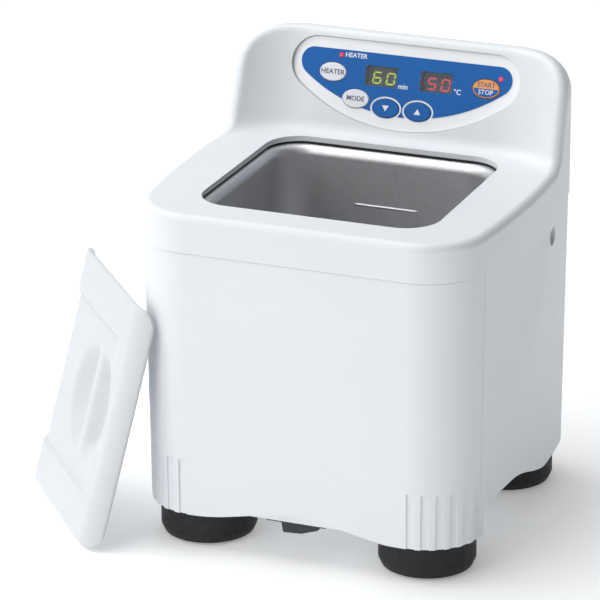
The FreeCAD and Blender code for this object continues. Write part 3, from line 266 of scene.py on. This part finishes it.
def smooth_by_angle(mesh, degrees=35.0):
    mesh.polygons.foreach_set("use_smooth", [True] * len(mesh.polygons))
    mesh.set_sharp_from_angle(angle=math.radians(degrees))


def flat_print(name, outlines, place, thickness, finish, body):
    """Printed shapes: closed outlines filled and given a little thickness on the panel."""
    bm = bmesh.new()
    for outline in outlines:
        front = [bm.verts.new((x, y, thickness)) for x, y in outline]
        back = [bm.verts.new((x, y, 0.0)) for x, y in outline]
        bm.faces.new(front)
        bm.faces.new(list(reversed(back)))
        count = len(front)
        for i in range(count):
            j = (i + 1) % count
            bm.faces.new((front[j], front[i], back[i], back[j]))
    bmesh.ops.recalc_face_normals(bm, faces=bm.faces)
    bmesh.ops.transform(bm, matrix=place, verts=bm.verts)
    mesh = bpy.data.meshes.new(name)
    bm.to_mesh(mesh)
    bm.free()
    return new_piece(name, mesh, finish, body)


# ---------------------------------------------------------------- printed words

INK_WHITE = moulded("InkWhite", (0.88, 0.89, 0.92), 0.4, 0.02, 2600.0, 0.000006, 90.0)
INK_GREY = moulded("InkGrey", (0.07, 0.09, 0.18), 0.4, 0.05, 2600.0, 0.000006, 90.0)


def word(name, text, height, place, finish, body, bold=0.0):
    curve = bpy.data.curves.new(name, "FONT")
    curve.body = text
    curve.size = height
    curve.align_x = "CENTER"
    curve.align_y = "CENTER"
    curve.extrude = 0.00004
    curve.offset = bold
    curve.resolution_u = 3
    temp = bpy.data.objects.new(name, curve)
    bpy.context.scene.collection.objects.link(temp)
    bpy.context.view_layer.update()
    mesh = bpy.data.meshes.new_from_object(temp)
    bpy.data.objects.remove(temp)
    bpy.data.curves.remove(curve)
    mesh.transform(place)
    mesh.name = name
    return new_piece(name, mesh, finish, body)


def print_words():
    labels = (
        ("heater_lamp_word", "HEATER", "heater_lamp", 8.7 * MM, 0.3 * MM, 3.6 * MM),
        ("minutes_word", "min", "timer_window", 13.4 * MM, -4.4 * MM, 3.9 * MM),
        ("degrees_word", "°C", "temperature_window", 12.8 * MM, -4.0 * MM, 4.0 * MM),
    )
    for name, text, node, dx, dy, height in labels:
        middle = panel_middle(node)
        place = panel_place(middle.x + dx, middle.y + dy, FACE - 0.00002)
        word(name, text, height, place, INK_WHITE.material, "case", 0.00007)
    for name, text, node, dy, height, ink in (
            ("heater_key_word", "HEATER", "heater_key", 0.0, 3.9 * MM, INK_GREY),
            ("mode_key_word", "MODE", "mode_key", 0.0, 3.7 * MM, INK_GREY),
            ("start_word", "START", "start_stop_key", 2.0 * MM, 3.6 * MM, INK_GREY),
            ("stop_word", "STOP", "start_stop_key", -2.0 * MM, 3.6 * MM, INK_WHITE)):
        middle, front = panel_middle(node), panel_box(node)[0].z
        place = panel_place(middle.x, middle.y + dy, front - 0.00008)
        word(name, text, height, place, ink.material, node,
             0.00004)


print_words()


KEY_ORANGE_TOP = moulded("KeyOrangeTop", (0.87, 0.36, 0.10), 0.36, 0.03, 2600.0, 0.000010, 60.0)


def half_oval(wide, tall, upper, steps=60):
    """The upper or lower half of an oval, as one closed outline."""
    turns = [math.pi * i / steps for i in range(steps + 1)]
    side = 1.0 if upper else -1.0
    return [(wide * math.cos(turn), side * tall * math.sin(turn)) for turn in turns]


def start_stop_face():
    """The two-coloured face of the round key: orange above, blue below, inside an orange ring."""
    low, high = panel_box("start_stop_key")
    middle = (low + high) / 2
    front = [v.co for v in NODES["start_stop_key"].data.vertices if v.co.dot(INWARD) < low.z + 0.05 * MM]
    wide = max(abs(p.dot(RIGHT) - middle.x) for p in front) - 0.35 * MM
    tall = max(abs(p.dot(UP) - middle.y) for p in front) - 0.35 * MM
    place = panel_place(middle.x, middle.y, low.z - 0.00003)
    flat_print("start_face", [half_oval(wide, tall, True)], place, 0.00003, KEY_ORANGE_TOP.material,
               "start_stop_key")
    flat_print("stop_face", [half_oval(wide, tall, False)], place, 0.00003, FINISH["key_blue"].material,
               "start_stop_key")


start_stop_face()


def arrows():
    half, tall = 1.95 * MM, 3.2 * MM
    for node, sign in (("up_key", 1), ("down_key", -1)):
        middle, front = panel_middle(node), panel_box(node)[0].z
        outline = [(-half, -sign * tall / 2), (half, -sign * tall / 2), (0.0, sign * tall / 2)]
        flat_print(f"{node}_arrow", [outline], panel_place(middle.x, middle.y, front - 0.00004), 0.00004,
                   INK_WHITE.material, node)


arrows()


# ---------------------------------------------------------------- lit digits

DIGIT_DEPTH = 0.0001
SEGMENTS = {"0": "abcdef", "5": "afgcd", "6": "afgcde"}


def segment_outlines(digit, across):
    """The lit bars of one seven-segment digit, as long hexagons, leaning a little to the right."""
    half, tall, bar = 2.2 * MM, 3.0 * MM, 0.40 * MM
    ends = {
        "a": ((-half, tall), (half, tall)), "g": ((-half, 0), (half, 0)), "d": ((-half, -tall), (half, -tall)),
        "f": ((-half, 0), (-half, tall)), "b": ((half, 0), (half, tall)),
        "e": ((-half, -tall), (-half, 0)), "c": ((half, -tall), (half, 0)),
    }
    outlines = []
    for letter in SEGMENTS[digit]:
        start, end = Vector(ends[letter][0]), Vector(ends[letter][1])
        along = (end - start).normalized()
        side = Vector((-along.y, along.x)) * bar
        start, end = start + along * 0.5 * bar, end - along * 0.5 * bar
        points = [start, start + along * bar + side, end - along * bar + side, end, end - along * bar - side,
                  start + along * bar - side]
        outlines.append([(p.x + across + 0.12 * p.y, p.y) for p in points])
    return outlines


def light_digits():
    looks = (("timer", "60", (0.62, 0.78, 0.06)), ("temperature", "50", (0.95, 0.06, 0.11)))
    for name, text, colour in looks:
        middle, front = panel_middle(f"{name}_display"), panel_box(f"{name}_display")[0].z
        outlines = []
        for index, digit in enumerate(text):
            outlines += segment_outlines(digit, (-4.0 + 8.0 * index) * MM)
        place = panel_place(middle.x + 0.5 * MM, middle.y - 0.9 * MM, front - DIGIT_DEPTH)
        flat_print(f"{name}_digits", outlines, place, DIGIT_DEPTH,
                   glowing(f"Digits_{name}", colour, 0.7).material, "case")


light_digits()


# ---------------------------------------------------------------- lid

# The lid is the case's white plastic darkened to 0.80 as painted shade, so it shows darker than the case under the
# same lamps
LID_WHITE_PAINTED_SHADE = moulded("LidWhitePaintedShade", shade(WHITE, 0.80), 0.4, 0.012, 2400.0, 0.000012, 14.0)
HEADING, LEAN = math.radians(-49.3), math.radians(75.3)
LID_ACROSS = Vector((math.cos(HEADING), math.sin(HEADING), 0.0))
LID_ALONG = Vector((-LID_ACROSS.y * math.cos(LEAN), LID_ACROSS.x * math.cos(LEAN), math.sin(LEAN)))
LID_OUT = LID_ACROSS.cross(LID_ALONG)

# Lid sizes in millimetres, and the angle its long sides curl through
SHOULDER, SWEEP = 17.0, math.radians(60)
LID_CORNER, LID_STEP, LID_SHEET, LID_ROUND = 11.0, 1.9, 2.7, 0.55
DISH_OFFSET, DISH_RADIUS, DISH_DEPTH = 8.0, 33.0, 7.0


def smooth_step(low, high, value):
    t = min(1.0, max(0.0, (value - low) / (high - low)))
    return t * t * (3.0 - 2.0 * t)


def lid_surface(run, along, half, end):
    """Where a point of the flat sheet comes to on the curled lid: place, normal and how far it is pressed in."""
    flat = half - SHOULDER * math.sin(SWEEP)
    side = 1.0 if run > 0 else -1.0
    bend = max(0.0, abs(run) - flat) / SHOULDER
    x = side * (min(abs(run), flat) + SHOULDER * math.sin(bend))
    z = SHOULDER * (math.cos(bend) - 1.0)
    # Corners of the sheet are cut round before it is curled
    reach = min(1.0, max(0.0, (abs(run) - (flat + SHOULDER * SWEEP - LID_CORNER)) / LID_CORNER))
    y = along * (end - LID_CORNER * (1.0 - math.sqrt(max(0.0, 1.0 - reach * reach)))) / end
    # Raised end bands; the step dies away towards one long side
    band = smooth_step(end - 25.2, end - 23.6, abs(y))
    step = LID_STEP * (1.0 - 0.85 * smooth_step(26.0, 36.0, run))
    slope = 1.0 - smooth_step(end - 62.0, end - 8.0, abs(y))
    sink = step * (1.0 - band) + (LID_STEP - step) * slope * 0.5
    # Two crescent dimples either side of a grip ridge
    dish_x = x - DISH_OFFSET
    inside = smooth_step(0.0, 14.0, DISH_RADIUS - math.hypot(dish_x, y))
    hollow = DISH_DEPTH * inside * smooth_step(2.0, 12.0, abs(dish_x))
    return Vector((x, y, z)), Vector((side * math.sin(bend), 0.0, math.cos(bend))), sink + hollow


def lid_piece():
    """The lid as one thin moulded sheet with soft steps, dimples and round edges, standing for its CAD node."""
    points = [v.co for v in NODES["lid"].data.vertices]
    axes = (LID_ACROSS, LID_ALONG, LID_OUT)
    low = [min(p.dot(axis) for p in points) for axis in axes]
    high = [max(p.dot(axis) for p in points) for axis in axes]
    half, end = (high[0] - low[0]) / 2 / MM, (high[1] - low[1]) / 2 / MM
    origin = (LID_ACROSS * (low[0] + high[0]) + LID_ALONG * (low[1] + high[1])) / 2 + LID_OUT * high[2]
    full = half - SHOULDER * math.sin(SWEEP) + SHOULDER * SWEEP
    wide, tall = 128, 150
    bm = bmesh.new()

    def corner_of(point):
        return origin + (LID_ACROSS * point.x + LID_ALONG * point.y + LID_OUT * point.z) * MM

    def sheet(depth, shrink):
        rows = []
        for j in range(tall + 1):
            row = []
            for i in range(wide + 1):
                run = (2 * i / wide - 1) * (full - shrink)
                place, normal, sink = lid_surface(run, (2 * j / tall - 1) * (end - shrink), half, end)
                row.append(bm.verts.new(corner_of(place - normal * (sink + depth))))
            rows.append(row)
        return rows

    def rim(rows):
        return (rows[0] + [row[-1] for row in rows[1:]] + list(reversed(rows[-1][:-1]))
                + [row[0] for row in reversed(rows[1:-1])])

    top, bottom = sheet(0.0, LID_ROUND), sheet(LID_SHEET, LID_ROUND)
    for rows, flip in ((top, False), (bottom, True)):
        for a, b in zip(rows, rows[1:]):
            for i in range(wide):
                quad = (a[i], a[i + 1], b[i + 1], b[i])
                bm.faces.new(tuple(reversed(quad)) if flip else quad)
    loops = [rim(top)]
    for depth in (LID_ROUND, LID_SHEET - LID_ROUND):
        outer = sheet(depth, 0.0)
        keep = rim(outer)
        kept = set(keep)
        bmesh.ops.delete(bm, geom=[v for row in outer for v in row if v not in kept], context="VERTS")
        loops.append(keep)
    loops.append(rim(bottom))
    for a, b in zip(loops, loops[1:]):
        for i in range(len(a)):
            j = (i + 1) % len(a)
            bm.faces.new((a[j], a[i], b[i], b[j]))
    bmesh.ops.recalc_face_normals(bm, faces=bm.faces)
    mesh = bpy.data.meshes.new("lid_shell")
    bm.to_mesh(mesh)
    bm.free()
    smooth_by_angle(mesh, 50.0)
    piece = new_piece("lid_shell", mesh, LID_WHITE_PAINTED_SHADE.material, "lid")
    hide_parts("lid")


lid_piece()


# ---------------------------------------------------------------- tank level line

def level_line():
    """The short soft ridge pressed in the tank's back wall: a rod with tapered ends, half sunk in the wall."""
    tank = NODES["tank"]
    top = max(vertex.co.z for vertex in tank.data.vertices)
    height, first, last, radius = top - 0.0306, -21 * MM, 18 * MM, 0.9 * MM
    hit, wall, _, _ = tank.ray_cast(Vector((0.0, 0.0, height)), Vector((0.0, 1.0, 0.0)))
    if not hit:
        raise RuntimeError("the tank's back wall was not found")
    around, steps = 20, 28
    bm = bmesh.new()
    rings = []
    for i in range(steps + 1):
        x = first + (last - first) * i / steps
        near_end = min(x - first, last - x) / (3.5 * MM)
        size = radius * math.sqrt(max(0.04, 1.0 - (1.0 - min(1.0, near_end)) ** 2))
        turns = [2 * math.pi * k / around for k in range(around)]
        rings.append([bm.verts.new((x, wall.y + 0.25 * MM + size * math.sin(turn),
                                    height + 1.1 * size * math.cos(turn))) for turn in turns])
    for a, b in zip(rings, rings[1:]):
        for k in range(around):
            j = (k + 1) % around
            bm.faces.new((a[k], a[j], b[j], b[k]))
    bm.faces.new(list(reversed(rings[0])))
    bm.faces.new(rings[-1])
    bmesh.ops.recalc_face_normals(bm, faces=bm.faces)
    mesh = bpy.data.meshes.new("level_line")
    bm.to_mesh(mesh)
    bm.free()
    smooth_by_angle(mesh)
    new_piece("level_line", mesh, FINISH["steel_plain"].material, "case")


level_line()


# ---------------------------------------------------------------- room, light and camera

def studio():
    mesh = bpy.data.meshes.new("Floor")
    reach, low = 6.0, -0.1 * MM
    mesh.from_pydata([(-reach, -reach, low), (reach, -reach, low), (reach, reach, low), (-reach, reach, low)], [],
                     [(0, 1, 2, 3)])
    floor = bpy.data.objects.new("Floor", mesh)
    bpy.context.scene.collection.objects.link(floor)
    g = Graph("FloorPale")
    g.feed("Base Color", g.blend(g.remap(g.grain(3.0), 0.3, 0.7, 0.0, 1.0), (0.93, 0.935, 0.94), (0.95, 0.955, 0.96)))
    g.set(Roughness=0.7, Emission_Color=(1.0, 1.0, 1.0, 1.0), Emission_Strength=0.25)
    mesh.materials.append(g.material)

    world = bpy.data.worlds.new("Studio")
    world.use_nodes = True
    tree = world.node_tree
    back = tree.nodes["Background"]
    back.inputs[0].default_value = (0.97, 0.985, 1.0, 1.0)
    # The room is brighter on the left than on the right
    across = tree.nodes.new("ShaderNodeSeparateXYZ")
    level = tree.nodes.new("ShaderNodeMapRange")
    for label, number in (("From Min", -0.3), ("From Max", 0.9), ("To Min", 0.74), ("To Max", 0.03)):
        level.inputs[label].default_value = number
    tree.links.new(tree.nodes.new("ShaderNodeTexCoord").outputs["Generated"], across.inputs[0])
    tree.links.new(across.outputs["X"], level.inputs["Value"])
    tree.links.new(level.outputs["Result"], back.inputs[1])
    bpy.context.scene.world = world

    def area(name, position, target, width, power, colour=(1.0, 1.0, 1.0)):
        lamp = bpy.data.lights.new(name, "AREA")
        lamp.energy = power
        lamp.size = width
        lamp.color = colour
        obj = bpy.data.objects.new(name, lamp)
        obj.location = position
        obj.rotation_euler = (Vector(target) - Vector(position)).to_track_quat("-Z", "Y").to_euler()
        bpy.context.scene.collection.objects.link(obj)

    area("Key", (-1.1, -2.3, 1.6), (0, 0, 0.12), 1.6, 15.0)
    area("Top", (-0.9, -0.1, 2.0), (0, 0, 0.1), 1.8, 25.0)


VIEW_FROM = Vector((0.7193, -1.8531, 0.8642))
VIEW_TURN, VIEW_TILT, VIEW_ROLL = math.radians(22.15), math.radians(20.55), math.radians(-0.34)
SENSOR, FOCAL_PIXELS, FRAME_PIXELS = 36.0, 3899.85, 600.0


def camera():
    yaw, pitch, roll = VIEW_TURN, VIEW_TILT, VIEW_ROLL
    ahead = Vector((-math.sin(yaw) * math.cos(pitch), math.cos(yaw) * math.cos(pitch), -math.sin(pitch)))
    right = Vector((math.cos(yaw), math.sin(yaw), 0.0))
    up = right.cross(ahead)
    right, up = right * math.cos(roll) + up * math.sin(roll), up * math.cos(roll) - right * math.sin(roll)
    lens = bpy.data.cameras.new("Camera")
    lens.sensor_width = SENSOR
    lens.lens = SENSOR * FOCAL_PIXELS / FRAME_PIXELS
    lens.clip_end = 50.0
    obj = bpy.data.objects.new("Camera", lens)
    obj.matrix_world = (Matrix.Translation(VIEW_FROM)
                        @ Matrix((right, up, -ahead)).transposed().to_4x4())
    bpy.context.scene.collection.objects.link(obj)
    bpy.context.scene.camera = obj


studio()
camera()
bpy.context.scene.view_settings.view_transform = "Standard"
